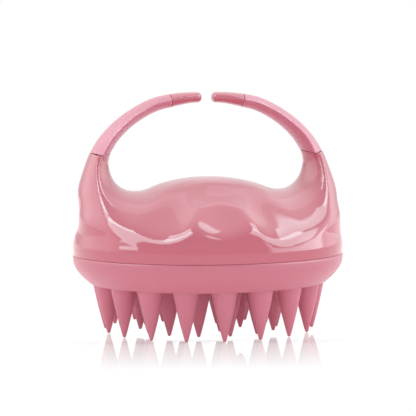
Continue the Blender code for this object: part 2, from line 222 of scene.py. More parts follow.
def shell(x, y, z, sad=None, wall=None):
    """The cap with horns and finger hollows. The horns run on past their seam; the seam is cut afterwards."""
    ax = np.abs(x)
    d, rho = saddle_distance(ax, z) if sad is None else sad
    top = d + y * y / (2 * rho)
    w = WALL_S(z) if wall is None else wall
    reach, rho_o, round_r = w[..., 0], w[..., 1], w[..., 2]
    horn = np.hypot(ax - (reach - rho_o), y) - rho_o
    body = np.hypot(x, y) - round_r
    side = smin(horn, body, 5.0 * smooth((z - 31.0) / 8.0))
    k = 3.4 - 2.3 * smooth((z - 38.0) / 12.0)
    f = smax(top, side, k)
    f = smax(f, np.abs(y) - FACET(z), 0.9 + 2.1 * smooth((53.0 - z) / 7.0))
    depth = SIDE_DENT(z)
    turn = np.abs(np.degrees(np.arctan2(ax, -y)))
    near = smooth(1 - np.abs(turn - SIDE_TURN) / SIDE_SPAN)
    f = f + depth * near
    hollow = None
    for turn in SCOOP_TURNS:
        a = math.radians(turn)
        px = x * math.cos(a) + y * math.sin(a)
        py = -x * math.sin(a) + y * math.cos(a)
        qy, qz = py - LIP[1], z - LIP[2]
        up = qy * LIFT[1] + qz * LIFT[2] - SCOOP_R
        cut = SCOOP_R - np.sqrt(px * px + up * up)
        hollow = cut if hollow is None else smax(hollow, cut, 1.6)
    return smax(f, hollow, 2.6)


def surface_nets(values, origin, h):
    inside = values < 0
    nx, ny, nz = values.shape
    corner = [(i, j, k) for i in (0, 1) for j in (0, 1) for k in (0, 1)]

    def at(a, c):
        return a[c[0] : nx - 1 + c[0], c[1] : ny - 1 + c[1], c[2] : nz - 1 + c[2]]

    count = sum(at(inside, c).astype(np.int8) for c in corner)
    active = (count > 0) & (count < 8)
    ids = np.full(active.shape, -1, np.int64)
    cells = np.argwhere(active)
    ids[active] = np.arange(len(cells))
    i, j, k = cells.T
    total, hits = np.zeros((len(cells), 3)), np.zeros(len(cells))
    for a in corner:
        for axis in range(3):
            if a[axis]:
                continue
            b = list(a)
            b[axis] = 1
            va = values[i + a[0], j + a[1], k + a[2]]
            vb = values[i + b[0], j + b[1], k + b[2]]
            cross = (va < 0) != (vb < 0)
            t = np.where(cross, va / np.where(cross, va - vb, 1), 0)
            p = np.tile(np.array(a, float), (len(cells), 1))
            p[:, axis] += t
            total += p * cross[:, None]
            hits += cross
    points = origin + (cells + total / hits[:, None]) * h
    faces = []
    for axis in range(3):
        u, v = (axis + 1) % 3, (axis + 2) % 3
        lo = [slice(1, n - 1) for n in values.shape]
        lo[axis] = slice(0, values.shape[axis] - 1)
        hi = list(lo)
        hi[axis] = slice(1, values.shape[axis])
        a, b = inside[tuple(lo)], inside[tuple(hi)]
        for forward in (True, False):
            e = np.argwhere((a & ~b) if forward else (~a & b))
            if not len(e):
                continue
            off = np.array([1, 1, 1])
            off[axis] = 0
            e = e + off
            quad = []
            for du, dv in ((-1, -1), (0, -1), (0, 0), (-1, 0)):
                q = e.copy()
                q[:, u] += du
                q[:, v] += dv
                quad.append(ids[q[:, 0], q[:, 1], q[:, 2]])
            quad = np.stack(quad, axis=1)
            faces.append(quad if forward else quad[:, ::-1])
    return points, np.concatenate(faces)


def gradient(fn, p, eps=0.04):
    g = np.empty_like(p)
    for axis in range(3):
        hi, lo = p.copy(), p.copy()
        hi[:, axis] += eps
        lo[:, axis] -= eps
        g[:, axis] = (fn(hi[:, 0], hi[:, 1], hi[:, 2]) - fn(lo[:, 0], lo[:, 1], lo[:, 2])) / (2 * eps)
    return g


def project(fn, p, rounds=3):
    for _ in range(rounds):
        f = fn(p[:, 0], p[:, 1], p[:, 2])
        g = gradient(fn, p)
        step = (f / np.maximum((g * g).sum(1), 0.05))[:, None] * g
        length = np.linalg.norm(step, axis=1)[:, None]
        p = p - step * np.minimum(1, 0.5 / np.maximum(length, 1e-9))
    return p


# =====================================================================================
# Mesh helpers
# =====================================================================================
def new_object(name, bm=None, mesh=None):
    if mesh is None:
        mesh = bpy.data.meshes.new(name)
        bm.to_mesh(mesh)
        bm.free()
    ob = bpy.data.objects.new(name, mesh)
    scene.collection.objects.link(ob)
    return ob


def shade(ob, angle=35):
    ob.data.shade_smooth()
    ob.data.set_sharp_from_angle(angle=math.radians(angle))


def ring_mesh(bm, rings, closed_ring=True):
    """Joins rings of vertices with quads; returns the vertex rings."""
    vr = [[bm.verts.new(p) for p in ring] for ring in rings]
    for a, b in zip(vr, vr[1:]):
        n = len(a)
        for i in range(n if closed_ring else n - 1):
            j = (i + 1) % n
            bm.faces.new((a[i], a[j], b[j], b[i]))
    return vr


def fan(bm, ring, point, flip=False):
    c = bm.verts.new(point)
    n = len(ring)
    for i in range(n):
        j = (i + 1) % n
        bm.faces.new((ring[j], ring[i], c) if flip else (ring[i], ring[j], c))
    return c


def scale_mm(bm):
    bmesh.ops.scale(bm, vec=(MM, MM, MM), verts=bm.verts)


SEAM_Z, SEAM_DROP = 58.15, 0.0130  # the horn seam: height in the middle, and how it falls towards front and back
SHELL_BOTTOM = 25.07
SOCKET = (33.9, 37.0, 4.6, 52.4)


def boundary_loops(bm):
    """Ordered loops of boundary vertices."""
    edges = {e for e in bm.edges if e.is_boundary}
    loops = []
    while edges:
        e = edges.pop()
        loop = [e.verts[0], e.verts[1]]
        while True:
            nxt = next((f for f in loop[-1].link_edges if f in edges), None)
            if nxt is None:
                break
            edges.discard(nxt)
            v = nxt.other_vert(loop[-1])
            if v is loop[0]:
                break
            loop.append(v)
        loops.append(loop)
    return loops


def make_shell():
    h = 0.5
    x = np.arange(-46.5, 46.5 + h, h)
    y = np.arange(-46.5, 46.5 + h, h)
    z = np.arange(22.0, 61.5, h)
    gx, gz = np.meshgrid(np.abs(x), z, indexing="ij")
    d, rho = saddle_distance(gx, gz)
    sad = (d[:, None, :], rho[:, None, :])
    wall = WALL_S(z)[None, None, :, :]
    values = shell(x[:, None, None], y[None, :, None], z[None, None, :], sad, wall)
    # past both ends of the wanted span the field is closed off, so that no face meets the grid's edge
    values = np.maximum(values, np.maximum(22.9 - z, z - 60.6)[None, None, :])
    points, faces = surface_nets(values, np.array((x[0], y[0], z[0])), h)
    inner = (points[:, 2] > 23.8) & (points[:, 2] < 59.9)
    points[inner] = project(shell, points[inner])
    bm = bmesh.new()
    verts = [bm.verts.new(p) for p in points]
    for f in faces:
        try:
            bm.faces.new([verts[i] for i in f])
        except ValueError:
            pass
    # bottom
    bmesh.ops.bisect_plane(
        bm, geom=bm.verts[:] + bm.edges[:] + bm.faces[:], dist=1e-5,
        plane_co=(0, 0, SHELL_BOTTOM), plane_no=(0, 0, -1), clear_outer=True)
    # the seam falls towards the ridges, so the mesh is bent flat, cut, and bent back
    for v in bm.verts:
        v.co.z += SEAM_DROP * v.co.y ** 2 * (1 if v.co.z > 54 else 0)
    bmesh.ops.bisect_plane(
        bm, geom=bm.verts[:] + bm.edges[:] + bm.faces[:], dist=1e-5,
        plane_co=(0, 0, SEAM_Z - 0.07), plane_no=(0, 0, 1), clear_outer=True)
    for v in bm.verts:
        v.co.z -= SEAM_DROP * v.co.y ** 2 * (1 if v.co.z > 54 else 0)
    loose = [v for v in bm.verts if not v.link_faces]
    bmesh.ops.delete(bm, geom=loose, context="VERTS")
    layer = bm.faces.layers.int.new("outer")
    for f in bm.faces:
        f[layer] = 1
    loops = boundary_loops(bm)
    rim = next(l for l in loops if abs(l[0].co.z - SHELL_BOTTOM) < 0.05)
    tops = [l for l in loops if l is not rim]

    # rolled lower edge, wall thickness and the hollow inside
    rim.sort(key=lambda v: math.atan2(v.co.y, v.co.x))
    angles = [math.atan2(v.co.y, v.co.x) for v in rim]
    profile = ((44.1, 24.99), (43.9, 24.96), (42.3, 24.96), (41.95, 25.3), (41.9, 27.0), (41.9, 29.8),
               (39, 32.4), (34, 35.7), (28, 39.2), (20, 43.3), (10, 46.2), (4, 46.9))
    last = rim
    for r, zz in profile:
        ring = [bm.verts.new((r * math.cos(a), r * math.sin(a), zz)) for a in angles]
        n = len(ring)
        for i in range(n):
            j = (i + 1) % n
            bm.faces.new((last[j], last[i], ring[i], ring[j]))
        last = ring
    c = bm.verts.new((0, 0, 47.1))
    for i in range(len(last)):
        bm.faces.new((last[(i + 1) % len(last)], last[i], c))

    # horn ends: a small bevel, a flat end face and the socket the arm's core sits in
    for loop in tops:
        side = 1 if loop[0].co.x > 0 else -1
        cx = side * 35.4
        mid = Vector((cx, 0, 0))
        ring = []
        for v in loop:
            out = Vector((v.co.x - cx, v.co.y, 0))
            out.normalize()
            p = v.co - out * 0.22
            p.z = SEAM_Z - 0.01 - SEAM_DROP * p.y ** 2
            ring.append(bm.verts.new(p))
        n = len(loop)
        for i in range(n):
            j = (i + 1) % n
            bm.faces.new((loop[i], loop[j], ring[j], ring[i]))
        xi, xo, hw, floor = SOCKET
        corners = []
        steps = 8
        for sx, sy, ex, ey in ((xi, -hw, xo, -hw), (xo, -hw, xo, hw), (xo, hw, xi, hw), (xi, hw, xi, -hw)):
            for k in range(steps):
                t = k / steps
                px, py = sx + (ex - sx) * t, sy + (ey - sy) * t
                corners.append((side * px, py))
        hole = [bm.verts.new((px, py, SEAM_Z - 0.01 - SEAM_DROP * py ** 2)) for px, py in corners]
        deep = [bm.verts.new((px, py, floor)) for px, py in corners]
        edges = []
        for ringv in (ring, hole):
            for i in range(len(ringv)):
                a, b = ringv[i], ringv[(i + 1) % len(ringv)]
                edges.append(bm.edges.get((a, b)) or bm.edges.new((a, b)))
        bmesh.ops.triangle_fill(bm, use_beauty=True, use_dissolve=False, edges=edges)
        m = len(hole)
        for i in range(m):
            j = (i + 1) % m
            bm.faces.new((hole[i], hole[j], deep[j], deep[i]))
        bm.faces.new(deep)
    bmesh.ops.recalc_face_normals(bm, faces=bm.faces[:])
    scale_mm(bm)
    ob = new_object("upper_shell_skin", bm)
    mesh = ob.data
    shade(ob, 40)
    # exact normals of the smooth solid on its outer side
    n_poly = len(mesh.polygons)
    outer = np.zeros(n_poly, np.int32)
    mesh.attributes["outer"].data.foreach_get("value", outer)
    co = np.empty(len(mesh.vertices) * 3)
    mesh.vertices.foreach_get("co", co)
    co = co.reshape(-1, 3) / MM
    loop_vert = np.empty(len(mesh.loops), np.int32)
    mesh.loops.foreach_get("vertex_index", loop_vert)
    start = np.empty(n_poly, np.int32)
    total = np.empty(n_poly, np.int32)
    mesh.polygons.foreach_get("loop_start", start)
    mesh.polygons.foreach_get("loop_total", total)
    poly_of_loop = np.repeat(np.arange(n_poly), total)
    corner = np.empty(len(mesh.loops) * 3, np.float32)
    mesh.corner_normals.foreach_get("vector", corner)
    corner = corner.reshape(-1, 3)
    used = np.unique(loop_vert[outer[poly_of_loop] == 1])
    g = gradient(shell, co[used], 0.03)
    g /= np.linalg.norm(g, axis=1)[:, None]
    full = np.zeros((len(co), 3), np.float32)
    full[used] = g
    sel = outer[poly_of_loop] == 1
    corner[sel] = full[loop_vert[sel]]
    mesh.normals_split_custom_set(corner.tolist())
    return ob


# =====================================================================================
# Materials: every colour, roughness and bump comes from nodes
# =====================================================================================
def nodes_of(name):
    mat = bpy.data.materials.new(name)
    mat.use_nodes = True
    nt = mat.node_tree
    return mat, nt, nt.nodes["Principled BSDF"]


def noise(nt, scale, detail=3.0, rough=0.5, coord="Object"):
    tc = nt.nodes.new("ShaderNodeTexCoord")
    n = nt.nodes.new("ShaderNodeTexNoise")
    n.inputs["Scale"].default_value = scale
    n.inputs["Detail"].default_value = detail
    n.inputs["Roughness"].default_value = rough
    nt.links.new(tc.outputs[coord], n.inputs["Vector"])
    return n


def ranged(nt, source, lo, hi, from_lo=0.3, from_hi=0.7):
    m = nt.nodes.new("ShaderNodeMapRange")
    m.inputs["From Min"].default_value = from_lo
    m.inputs["From Max"].default_value = from_hi
    m.inputs["To Min"].default_value = lo
    m.inputs["To Max"].default_value = hi
    nt.links.new(source, m.inputs["Value"])
    return m.outputs["Result"]


def tinted(nt, source, a, b):
    m = nt.nodes.new("ShaderNodeMix")
    m.data_type = "RGBA"
    nt.links.new(source, m.inputs["Factor"])
    m.inputs["A"].default_value = (*a, 1)
    m.inputs["B"].default_value = (*b, 1)
    return m.outputs["Result"]


def bumped(nt, bsdf, source, strength, distance):
    b = nt.nodes.new("ShaderNodeBump")
    b.inputs["Strength"].default_value = strength
    b.inputs["Distance"].default_value = distance
    nt.links.new(source, b.inputs["Height"])
    nt.links.new(b.outputs["Normal"], bsdf.inputs["Normal"])
    return b


def polymer(name, colour, vary, rough, rough_vary, grain, strength, distance, sub=0.0, radius=(0.004, 0.0016, 0.0016),
            coat=0.0, coat_rough=0.03, spec=0.5, sheen=0.0):
    """A moulded plastic or rubber: pigment that drifts slightly, uneven polish and a fine surface grain."""
    mat, nt, bsdf = nodes_of(name)
    drift = noise(nt, 45.0, 2.0)
    a = tuple(c * (1 - vary) for c in colour)
    b = tuple(min(1, c * (1 + vary)) for c in colour)
    nt.links.new(tinted(nt, ranged(nt, drift.outputs["Fac"], 0, 1), a, b), bsdf.inputs["Base Color"])
    polish = noise(nt, 160.0, 3.0)
    nt.links.new(ranged(nt, polish.outputs["Fac"], rough - rough_vary, rough + rough_vary), bsdf.inputs["Roughness"])
    skin = noise(nt, grain, 2.0)
    bumped(nt, bsdf, skin.outputs["Fac"], strength, distance)
    bsdf.inputs["Specular IOR Level"].default_value = spec
    bsdf.inputs["Subsurface Weight"].default_value = sub
    bsdf.inputs["Subsurface Radius"].default_value = radius
    bsdf.inputs["Subsurface Scale"].default_value = 1.0
    bsdf.inputs["Coat Weight"].default_value = coat
    bsdf.inputs["Coat Roughness"].default_value = coat_rough
    bsdf.inputs["Sheen Weight"].default_value = sheen
    return mat


PINK = (0.545, 0.135, 0.183)
gloss = polymer("gloss_pink_abs", PINK, 0.012, 0.055, 0.012, 900, 0.03, 0.00002, spec=0.5)
gloss_tip = polymer("gloss_pink_tip", (0.565, 0.155, 0.21), 0.012, 0.12, 0.01, 600, 0.02, 0.000002, spec=0.5)
satin = polymer("satin_pink_ring", (0.55, 0.155, 0.21), 0.012, 0.36, 0.02, 2600, 0.06, 0.00002, spec=0.5)
soft = polymer("soft_pink_sleeve", (0.62, 0.215, 0.295), 0.010, 0.36, 0.02, 1100, 0.03, 0.000003, spec=0.6)
silicone = polymer("pink_silicone", (0.60, 0.19, 0.255), 0.02, 0.50, 0.04, 1800, 0.15, 0.00004, sub=0.12, spec=0.35)
inner_plastic = polymer("natural_plastic", (0.72, 0.70, 0.66), 0.02, 0.5, 0.05, 1500, 0.2, 0.00004)
core_plastic = polymer("core_plastic", (0.60, 0.26, 0.31), 0.02, 0.45, 0.05, 1500, 0.2, 0.00004)
seal_rubber = polymer("seal_rubber", (0.03, 0.03, 0.032), 0.1, 0.6, 0.06, 2400, 0.25, 0.00004)


YAW = math.radians(8.8)
FWD = Vector((math.sin(YAW), math.cos(YAW), 0))
RIGHT = Vector((math.cos(YAW), -math.sin(YAW), 0))
UP = Vector((0, 0, 1))
TENT = (1.02, 1.35)  # how bright the white tent is at the horizon, and how much brighter overhead and behind


def tent_level(nt, way, sign=1):
    """The tent's brightness in the direction given by the socket, as a socket."""
    def along(axis, lo, hi):
        dot = nt.nodes.new("ShaderNodeVectorMath")
        dot.operation = "DOT_PRODUCT"
        dot.inputs[1].default_value = tuple(axis * sign)
        nt.links.new(way, dot.inputs[0])
        m = nt.nodes.new("ShaderNodeMapRange")
        m.inputs["From Min"].default_value = lo
        m.inputs["From Max"].default_value = hi
        nt.links.new(dot.outputs["Value"], m.inputs["Value"])
        return m.outputs["Result"]

    rise, behind = along(UP, 0.0, 0.92), along(FWD, -0.55, 0.55)
    both = nt.nodes.new("ShaderNodeMath")
    both.operation = "MULTIPLY"
    nt.links.new(rise, both.inputs[0])
    nt.links.new(behind, both.inputs[1])
    level = nt.nodes.new("ShaderNodeMath")
    level.operation = "MULTIPLY_ADD"
    nt.links.new(both.outputs[0], level.inputs[0])
    level.inputs[1].default_value = TENT[1]
    level.inputs[2].default_value = TENT[0]
    return level.outputs[0]


def left_out_of_mirrors(mat, test):
    """Where test(nt) is 1, a mirror-like reflection shows the tent in place of this material."""
    nt = mat.node_tree
    bsdf, out = nt.nodes["Principled BSDF"], nt.nodes["Material Output"]
    path = nt.nodes.new("ShaderNodeLightPath")
    both = nt.nodes.new("ShaderNodeMath")
    both.operation = "MULTIPLY"
    nt.links.new(path.outputs["Is Glossy Ray"], both.inputs[0])
    nt.links.new(test(nt), both.inputs[1])
    geo = nt.nodes.new("ShaderNodeNewGeometry")
    tent = nt.nodes.new("ShaderNodeEmission")
    nt.links.new(tent_level(nt, geo.outputs["Incoming"], -1), tent.inputs["Strength"])
    mix = nt.nodes.new("ShaderNodeMixShader")
    nt.links.new(both.outputs[0], mix.inputs["Fac"])
    nt.links.new(bsdf.outputs["BSDF"], mix.inputs[1])
    nt.links.new(tent.outputs["Emission"], mix.inputs[2])
    nt.links.new(mix.outputs["Shader"], out.inputs["Surface"])


def above(nt, value, limit):
    m = nt.nodes.new("ShaderNodeMath")
    m.operation = "GREATER_THAN"
    m.inputs[1].default_value = limit
    nt.links.new(value, m.inputs[0])
    return m.outputs[0]


def distant(nt):
    """The arms stay out of the cap's polish, but not out of the narrow seams."""
    return above(nt, nt.nodes.new("ShaderNodeLightPath").outputs["Ray Length"], 0.008)


def root_or_back(nt):
    """The table mirrors only the front bristles, up to where they meet the moulding."""
    geo = nt.nodes.new("ShaderNodeNewGeometry")
    sep = nt.nodes.new("ShaderNodeSeparateXYZ")
    nt.links.new(geo.outputs["Position"], sep.inputs["Vector"])
    dot = nt.nodes.new("ShaderNodeVectorMath")
    dot.operation = "DOT_PRODUCT"
    dot.inputs[1].default_value = tuple(FWD)
    nt.links.new(geo.outputs["Position"], dot.inputs[0])
    either = nt.nodes.new("ShaderNodeMath")
    either.operation = "MAXIMUM"
    nt.links.new(above(nt, sep.outputs["Z"], 0.0135), either.inputs[0])
    nt.links.new(above(nt, dot.outputs["Value"], -0.002), either.inputs[1])
    return either.outputs[0]


def steel(name):
    mat, nt, bsdf = nodes_of(name)
    tc = nt.nodes.new("ShaderNodeTexCoord")
    mp = nt.nodes.new("ShaderNodeMapping")
    mp.inputs["Scale"].default_value = (1, 1, 14)
    nt.links.new(tc.outputs["Object"], mp.inputs["Vector"])
    n = nt.nodes.new("ShaderNodeTexNoise")
    n.inputs["Scale"].default_value = 700
    n.inputs["Detail"].default_value = 4
    nt.links.new(mp.outputs["Vector"], n.inputs["Vector"])
    nt.links.new(tinted(nt, ranged(nt, n.outputs["Fac"], 0, 1), (0.50, 0.50, 0.52), (0.66, 0.66, 0.67)), bsdf.inputs["Base Color"])
    nt.links.new(ranged(nt, n.outputs["Fac"], 0.22, 0.38), bsdf.inputs["Roughness"])
    bumped(nt, bsdf, n.outputs["Fac"], 0.2, 0.00003)
    bsdf.inputs["Metallic"].default_value = 1.0
    return mat


left_out_of_mirrors(silicone, root_or_back)
screw_steel = steel("screw_steel")
for mat in (soft, gloss_tip, core_plastic):
    left_out_of_mirrors(mat, distant)


def put(ob, mat):
    ob.data.materials.clear()
    ob.data.materials.append(mat)


# =====================================================================================
# Pieces
# =====================================================================================
shell_skin = make_shell()
put(shell_skin, gloss)
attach(shell_skin, "brush_body")
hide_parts("upper_shell")


def turned(name, profile, steps=256):
    """A closed profile of (radius, height) in millimetres turned about Z."""
    bm = bmesh.new()
    rings = []
    for k in range(steps):
        a = 2 * math.pi * k / steps
        rings.append([(r * math.cos(a), r * math.sin(a), z) for r, z in profile])
    vr = [[bm.verts.new(p) for p in ring] for ring in rings]
    n = len(profile)
    for k in range(steps):
        a, b = vr[k], vr[(k + 1) % steps]
        for i in range(n):
            j = (i + 1) % n
            bm.faces.new((a[i], b[i], b[j], a[j]))
    bmesh.ops.recalc_face_normals(bm, faces=bm.faces[:])
    return bm


def refined(points, per=6):
    s, length = chord_spline(points)
    t = np.linspace(0, length, per * (len(points) - 1) + 1)
    return [tuple(p) for p in s(t)]


def make_ring():
    """The satin band with its small top chamfer, the turned-in lower edge, ledge, upstand and seal groove."""
    outside = refined(((44.3, 24.38), (44.22, 23.4), (44.0, 22.2), (43.5, 20.95), (42.7, 19.7), (41.7, 18.45),
                       (40.45, 17.2), (39.3, 16.25)), 4)
    profile = [(39.9, 28.9), (40.0, 29.0), (41.3, 29.0), (41.5, 28.8), (41.5, 27.4), (40.6, 27.4), (40.6, 26.0),
               (41.5, 26.0), (41.5, 24.945), (44.02, 24.945), (44.14, 24.89), (44.25, 24.70)]
    profile += outside
    profile += [(39.05, 15.98), (38.9, 15.82), (38.75, 15.75), (38.6, 15.8), (38.55, 15.95), (38.55, 17.6), (38.65, 17.7), (39.9, 17.7)]
    bm = turned("base_ring_skin", profile, 256)
    scale_mm(bm)
    return new_object("base_ring_skin", bm)


ring = make_ring()


def lug_block(grow, z0, z1, reach, turn):
    r = 2.3 + grow
    outline = [(reach, r)] + [
        (36.6 + r * math.cos(math.pi / 2 + math.pi * k / 16), r * math.sin(math.pi / 2 + math.pi * k / 16))
        for k in range(17)
    ] + [(reach, -r)]
    a = math.radians(turn)
    out = []
    for z in (z0, z1):
        out.append([(x * math.cos(a) - y * math.sin(a), x * math.sin(a) + y * math.cos(a), z) for x, y in outline])
    return out


SCREW_TURNS = [30 + 60 * k for k in range(6)]


def cutter(name, blocks):
    bm = bmesh.new()
    for rings in blocks:
        vr = ring_mesh(bm, rings)
        bm.faces.new(list(reversed(vr[0])))
        bm.faces.new(vr[-1])
    bmesh.ops.recalc_face_normals(bm, faces=bm.faces[:])
    scale_mm(bm)
    return new_object(name, bm)


def post_block(radius, z0, z1, reach, turn, n=24):
    a = math.radians(turn)
    cx, cy = reach * math.cos(a), reach * math.sin(a)
    return [[(cx + radius * math.cos(2 * math.pi * k / n), cy + radius * math.sin(2 * math.pi * k / n), z) for k in range(n)]
            for z in (z0, z1)]


def apply_boolean(ob, tool, operation):
    mod = ob.modifiers.new("cut", "BOOLEAN")
    mod.operation = operation
    mod.object = tool
    mod.solver = "EXACT"
    dg = bpy.context.evaluated_depsgraph_get()
    mesh = bpy.data.meshes.new_from_object(ob.evaluated_get(dg))
    ob.modifiers.clear()
    ob.data = mesh
    bpy.data.objects.remove(tool)


apply_boolean(ring, cutter("lugs", [lug_block(0, 17.5, 20.0, 40.6, t) for t in SCREW_TURNS]), "UNION")
apply_boolean(ring, cutter("pilots", [post_block(1.3, 16.9, 22.5, 36.6, t) for t in SCREW_TURNS]), "DIFFERENCE")
put(ring, satin)
shade(ring, 38)
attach(ring, "brush_body")
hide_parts("base_ring")

# ---- bristle moulding ---------------------------------------------------------------
RINGS = ((18, 34.0, -0.4), (14, 22.5, 9.0), (5, 10.5, 12.0))
PAD_UNDER = 16.2


def bristle_profile():
    """Radius and height up a bristle: round blunt tip, almost straight side, and a small fillet into the pad."""
    out = []
    tip = 0.55
    for k in range(1, 6):
        a = math.pi / 2 * k / 5.6
        out.append((tip * math.sin(a), tip - tip * math.cos(a)))
    for k in range(1, 11):
        t = k / 10
        z = 0.50 + (15.2 - 0.50) * t
        out.append((0.57 + (4.06 - 0.57) * t + 0.16 * math.sin(math.pi * t), z))
    for k in range(1, 5):
        a = math.pi / 2 * k / 4
        out.append((4.10 + 0.08 * k, 15.25 + (PAD_UNDER - 15.25) * math.sin(a)))
    return out


def make_pad():
    """Underside with a round opening for every bristle root, each carried down into its cone; rim and top above. The
    notches are cut afterwards.
    """
    seg = 40
    prof = bristle_profile()
    root_r = prof[-1][0]
    bm = bmesh.new()
    steps = 160
    pad_r = 38.35
    rim_loop = [bm.verts.new((pad_r * math.cos(2 * math.pi * k / steps), pad_r * math.sin(2 * math.pi * k / steps), PAD_UNDER))
                for k in range(steps)]
    fill = [bm.edges.new((rim_loop[k], rim_loop[(k + 1) % steps])) for k in range(steps)]
    for count, radius, phase in RINGS:
        for k in range(count):
            a = math.radians(phase + 360.0 / count * k)
            cx, cy = radius * math.sin(a), -radius * math.cos(a)
            rr = min(root_r, pad_r - 0.12 - radius)
            scale = rr / root_r
            rings = []
            for r, z in prof:
                r = r if r < 3.9 else 3.9 + (r - 3.9) * (rr - 3.9) / (root_r - 3.9)
                rings.append([(cx + r * math.cos(2 * math.pi * i / seg), cy + r * math.sin(2 * math.pi * i / seg), z)
                              for i in range(seg)])
            vr = ring_mesh(bm, rings)
            fan(bm, vr[0], (cx, cy, 0.0), flip=True)
            top = vr[-1]
            fill += [bm.edges.get((top[i], top[(i + 1) % seg])) for i in range(seg)]
    bmesh.ops.triangle_fill(bm, use_beauty=True, use_dissolve=False, edges=fill)
    last = rim_loop
    for r, z in ((38.35, 17.9), (38.45, 18.0), (39.5, 18.0), (39.6, 18.1), (39.6, 19.9), (39.5, 20.0), (33.8, 20.0), (33.2, 18.2)):
        nxt = [bm.verts.new((r * math.cos(2 * math.pi * k / steps), r * math.sin(2 * math.pi * k / steps), z)) for k in range(steps)]
        for i in range(steps):
            j = (i + 1) % steps
            bm.faces.new((last[i], last[j], nxt[j], nxt[i]))
        last = nxt
    fan(bm, last, (0, 0, 18.2))
    bmesh.ops.recalc_face_normals(bm, faces=bm.faces[:])
    scale_mm(bm)
    return new_object("bristle_pad_skin", bm)


pad = make_pad()
apply_boolean(pad, cutter("notches", [lug_block(0.35, 17.15, 21.0, 42.0, t) for t in SCREW_TURNS]), "DIFFERENCE")
put(pad, silicone)
shade(pad, 50)
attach(pad, "brush_body")
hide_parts("bristle_pad")

# ---- arms ---------------------------------------------------------------------------
# x, z, thickness, half width, share of the thickness outside the ridge, ridge rounding
ARM = (
    (35.03, 58.30, 6.82, 8.78, 0.57, 1.1),
    (33.00, 61.50, 5.65, 8.72, 0.56, 0.6),
    (30.40, 64.70, 5.20, 8.4, 0.55, 0.45),
    (27.50, 67.45, 4.92, 7.9, 0.54, 0.4),
    (24.20, 69.90, 4.72, 7.4, 0.53, 0.4),
    (20.70, 72.00, 4.62, 6.9, 0.52, 0.4),
    (17.10, 73.65, 4.50, 6.4, 0.50, 0.45),
    (13.30, 74.66, 4.36, 5.8, 0.50, 0.6),
    (11.90, 74.92, 4.32, 5.6, 0.50, 0.8),
    (9.20, 75.40, 4.12, 5.3, 0.50, 1.5),
    (7.20, 75.68, 3.86, 5.1, 0.50, 1.9),
    (5.20, 75.85, 3.62, 4.9, 0.50, 2.2),
    (3.40, 75.93, 3.48, 4.7, 0.50, 2.4),
    (1.00, 75.95, 3.42, 4.6, 0.50, 2.4),
)
ARM_S, ARM_LEN = chord_spline(ARM)
ARM_T = ARM_S.t
SEAM_T = ARM_T[8]


def lens(thick, half, share, k, n):
    """A closed section of (across, out) points: two shallow arcs whose meeting ridges are rounded by k."""
    high, low = thick * share, thick * (1 - share)
    out = []
    shift = (high - low) / 2
    for i in range(n):
        a = 2 * math.pi * i / n
        # rays are spaced so that points gather at the ridges
        dx, dy = math.cos(a), math.sin(a)
        sx, sy = half * dx, (thick / 2) * dy
        lo_r, hi_r = 0.0, 1.6
        for _ in range(40):
            m = (lo_r + hi_r) / 2
            u, v = sx * m, sy * m + shift
            fa = v - high * (1 - (u / half) ** 2)
            fb = -v - low * (1 - (u / half) ** 2)
            hh = max(k - abs(fa - fb), 0) / k
            f = max(fa, fb) + hh * hh * k * 0.25
            if f > 0:
                hi_r = m
            else:
                lo_r = m
        out.append((sx * lo_r, sy * lo_r + shift))
    return out


def arm_ring(t, side, n, shrink=0.0, flat=False, bend=0.0):
    """The outline at arc length t; shrink pulls it in, flat keeps the horn's level seam."""
    x, z, thick, half, share, k = ARM_S(np.array([t]))[0]
    dx, dz = ARM_S(np.array([t]), 1)[0][:2]
    length = math.hypot(dx, dz)
    out = np.array((dz, -dx)) / length
    level = np.array((1.0, 0.0))
    w = max(0.0, 1 - t / 5.0) ** 1.0 if not flat else 1.0
    w = w * w * (3 - 2 * w)
    normal = out * (1 - w) + level * w
    normal /= np.linalg.norm(normal)
    high, low = thick * share, thick * (1 - share)
    shift = (high - low) / 2
    ring = []
    for u, v in lens(thick, half, share, k, n):
        v -= shift
        if shrink:
            l = math.hypot(u, v)
            u, v = u - shrink * u / l, v - shrink * v / l
        px, pz = x + normal[0] * v, z + normal[1] * v
        pz -= bend * u * u
        ring.append((side * px, u, pz))
    return ring


def core_outline(side, t, centre, room=(1.0, 4.3)):
    dx, dz = ARM_S(np.array([t]), 1)[0][:2]
    l = math.hypot(dx, dz)
    return np.array((dz, -dx)) / l


def capped(bm, ring, hole=None):
    """Closes a ring with a flat face, round a hole if there is one."""
    if hole is None:
        bm.faces.new(ring)
        return
    edges = []
    for loop in (ring, hole):
        for i in range(len(loop)):
            a, b = loop[i], loop[(i + 1) % len(loop)]
            edges.append(bm.edges.get((a, b)) or bm.edges.new((a, b)))
    bmesh.ops.triangle_fill(bm, use_beauty=True, use_dissolve=False, edges=edges)


# the core's own line, as in the CAD node, for the channel it sits in
CORE_LINE = [(35.9, 58.10), (33.55, 61.5), (30.6, 64.8), (27.5, 67.45), (24.2, 69.9), (20.7, 72.0), (17.1, 73.65),
             (13.3, 74.8), (11.9, 75.13), (9.2, 75.65), (5.55, 76.14)]


